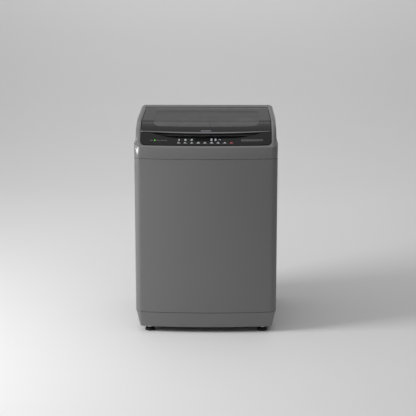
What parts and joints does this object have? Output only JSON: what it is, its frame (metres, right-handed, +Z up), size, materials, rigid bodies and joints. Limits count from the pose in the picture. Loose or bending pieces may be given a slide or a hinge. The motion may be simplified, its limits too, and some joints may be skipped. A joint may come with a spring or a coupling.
{
  "type": "top load washing machine",
  "caption": "Free-standing top load washer: steel cabinet on levelling feet, hinged glass lid, key panel, suspended tub with spinning basket, pulsator and belt drive.",
  "frame": {"origin": "on the floor, under the middle of the machine's width and depth", "axes": "+Z up, -Y the front with the control panel, +X the right side seen from the front"},
  "size_m": [0.6, 0.6, 0.905],
  "materials": {
    "body_paint": "satin",
    "body_plastic": "satin",
    "plinth_plastic": "satin",
    "zinc_sheet": "satin",
    "screw_steel": "satin",
    "black_gloss": "gloss",
    "frame_plastic": "satin",
    "smoked_glass": "gloss",
    "display_tint": "gloss",
    "trim_metal": "satin",
    "pale_plastic": "satin",
    "tub_plastic": "matte",
    "drum_steel": "satin",
    "cast_alloy": "satin",
    "black_rubber": "matte",
    "circuit_board": "satin",
    "dark_plastic": "satin",
    "key_black": "gloss",
    "key_red": "gloss"
  },
  "bodies": {
    "cabinet": {"cabinet_shell": "body_paint", "rear_panel": "zinc_sheet", "rear_panel_screws": "screw_steel", "base_plinth": "plinth_plastic", "bottom_guard": "dark_plastic", "top_cover": "body_plastic", "inner_frame": "frame_plastic", "rear_deck": "body_plastic", "control_panel": "black_gloss", "display_lens": "display_tint", "control_board": "circuit_board", "inlet_valve": "pale_plastic", "detergent_housing": "pale_plastic", "suspension_brackets": "zinc_sheet", "suspension_rods": "screw_steel", "suspension_springs": "screw_steel", "pressure_switch": "pale_plastic", "run_capacitor": "cast_alloy", "lid_switch": "dark_plastic", "cord_gland": "black_rubber", "drain_spigot": "dark_plastic"},
    "lid": {"lid_frame": "black_gloss", "lid_glass": "smoked_glass", "lid_trim": "trim_metal", "hinge_pins": "screw_steel"},
    "tub": {"outer_tub": "tub_plastic", "tub_ring": "tub_plastic", "tub_base_plate": "zinc_sheet", "tub_bolts": "screw_steel", "shaft_seal": "black_rubber", "gearbox_housing": "cast_alloy", "motor_housing": "cast_alloy", "motor_mounts": "black_rubber", "drive_belt": "black_rubber", "drain_valve": "dark_plastic", "damper_cups": "dark_plastic"},
    "basket": {"basket_wall": "drum_steel", "balance_ring": "pale_plastic", "basket_base": "pale_plastic", "spin_shaft": "screw_steel", "lint_filters": "pale_plastic"},
    "agitator": {"pulsator": "pale_plastic", "pulsator_screw": "screw_steel", "wash_shaft": "screw_steel"},
    "pulley": {"drive_pulley": "cast_alloy"},
    "rotor": {"motor_rotor": "screw_steel"},
    "drawer": {"detergent_drawer": "pale_plastic"},
    "key_1": {"key_1": "key_black"},
    "key_2": {"key_2": "key_black"},
    "key_3": {"key_3": "key_black"},
    "key_4": {"key_4": "key_black"},
    "key_5": {"key_5": "key_black"},
    "key_6": {"key_6": "key_black"},
    "key_7": {"key_7": "key_black"},
    "key_8": {"key_8": "key_black"},
    "key_9": {"key_9": "key_red"},
    "foot_front_left": {"foot_front_left": "black_rubber"},
    "foot_front_right": {"foot_front_right": "black_rubber"},
    "foot_rear_left": {"foot_rear_left": "black_rubber"},
    "foot_rear_right": {"foot_rear_right": "black_rubber"}
  },
  "joints": [
    {"name": "lid_hinge", "type": "hinge", "parent": "cabinet", "child": "lid", "pos_m": [0, 0.192, 0.89591], "axis": [-1, 0, 0], "range_deg": [0, 95]},
    {"name": "tub_bounce", "type": "slide", "parent": "cabinet", "child": "tub", "axis": [0, 0, 1], "range_m": [-0.025, 0.01], "stiffness_N_per_m": 4937, "springref_m": 0.06, "deforming": ["suspension_springs"]},
    {"name": "basket_spin", "type": "hinge", "parent": "tub", "child": "basket", "pos_m": [0, -0.006, 0.25], "axis": [0, 0, 1], "continuous": true},
    {"name": "pulsator_spin", "type": "hinge", "parent": "basket", "child": "agitator", "pos_m": [0, -0.006, 0.28], "axis": [0, 0, 1], "continuous": true},
    {"name": "pulley_spin", "type": "hinge", "parent": "tub", "child": "pulley", "pos_m": [0, -0.006, 0.127], "axis": [0, 0, 1], "continuous": true},
    {"name": "motor_spin", "type": "hinge", "parent": "tub", "child": "rotor", "pos_m": [0, 0.144, 0.127], "axis": [0, 0, 1], "continuous": true},
    {"name": "drawer_slide", "type": "slide", "parent": "cabinet", "child": "drawer", "axis": [0, -1, 0], "range_m": [0, 0.08]},
    {"name": "key_1_press", "type": "slide", "parent": "cabinet", "child": "key_1", "axis": [0, 0.9011, -0.4337], "range_m": [0, 0.001], "stiffness_N_per_m": 600, "springref_m": -0.0005},
    {"name": "key_2_press", "type": "slide", "parent": "cabinet", "child": "key_2", "axis": [0, 0.9011, -0.4337], "range_m": [0, 0.001], "stiffness_N_per_m": 600, "springref_m": -0.0005},
    {"name": "key_3_press", "type": "slide", "parent": "cabinet", "child": "key_3", "axis": [0, 0.9011, -0.4337], "range_m": [0, 0.001], "stiffness_N_per_m": 600, "springref_m": -0.0005},
    {"name": "key_4_press", "type": "slide", "parent": "cabinet", "child": "key_4", "axis": [0, 0.9011, -0.4337], "range_m": [0, 0.001], "stiffness_N_per_m": 600, "springref_m": -0.0005},
    {"name": "key_5_press", "type": "slide", "parent": "cabinet", "child": "key_5", "axis": [0, 0.9011, -0.4337], "range_m": [0, 0.001], "stiffness_N_per_m": 600, "springref_m": -0.0005},
    {"name": "key_6_press", "type": "slide", "parent": "cabinet", "child": "key_6", "axis": [0, 0.9011, -0.4337], "range_m": [0, 0.001], "stiffness_N_per_m": 600, "springref_m": -0.0005},
    {"name": "key_7_press", "type": "slide", "parent": "cabinet", "child": "key_7", "axis": [0, 0.9011, -0.4337], "range_m": [0, 0.001], "stiffness_N_per_m": 600, "springref_m": -0.0005},
    {"name": "key_8_press", "type": "slide", "parent": "cabinet", "child": "key_8", "axis": [0, 0.9011, -0.4337], "range_m": [0, 0.001], "stiffness_N_per_m": 600, "springref_m": -0.0005},
    {"name": "key_9_press", "type": "slide", "parent": "cabinet", "child": "key_9", "axis": [0, 0.9011, -0.4337], "range_m": [0, 0.001], "stiffness_N_per_m": 600, "springref_m": -0.0005},
    {"name": "foot_front_left_turn", "type": "hinge", "parent": "cabinet", "child": "foot_front_left", "pos_m": [-0.242, -0.232, 0.01], "axis": [0, 0, 1], "continuous": true},
    {"name": "foot_front_right_turn", "type": "hinge", "parent": "cabinet", "child": "foot_front_right", "pos_m": [0.242, -0.232, 0.01], "axis": [0, 0, 1], "continuous": true},
    {"name": "foot_rear_left_turn", "type": "hinge", "parent": "cabinet", "child": "foot_rear_left", "pos_m": [-0.242, 0.22, 0.01], "axis": [0, 0, 1], "continuous": true},
    {"name": "foot_rear_right_turn", "type": "hinge", "parent": "cabinet", "child": "foot_rear_right", "pos_m": [0.242, 0.22, 0.01], "axis": [0, 0, 1], "continuous": true}
  ],
  "couplings": [
    {"joint": "pulley_spin", "follows": "pulsator_spin", "ratio": 5},
    {"joint": "motor_spin", "follows": "pulsator_spin", "ratio": 16.905}
  ]
}
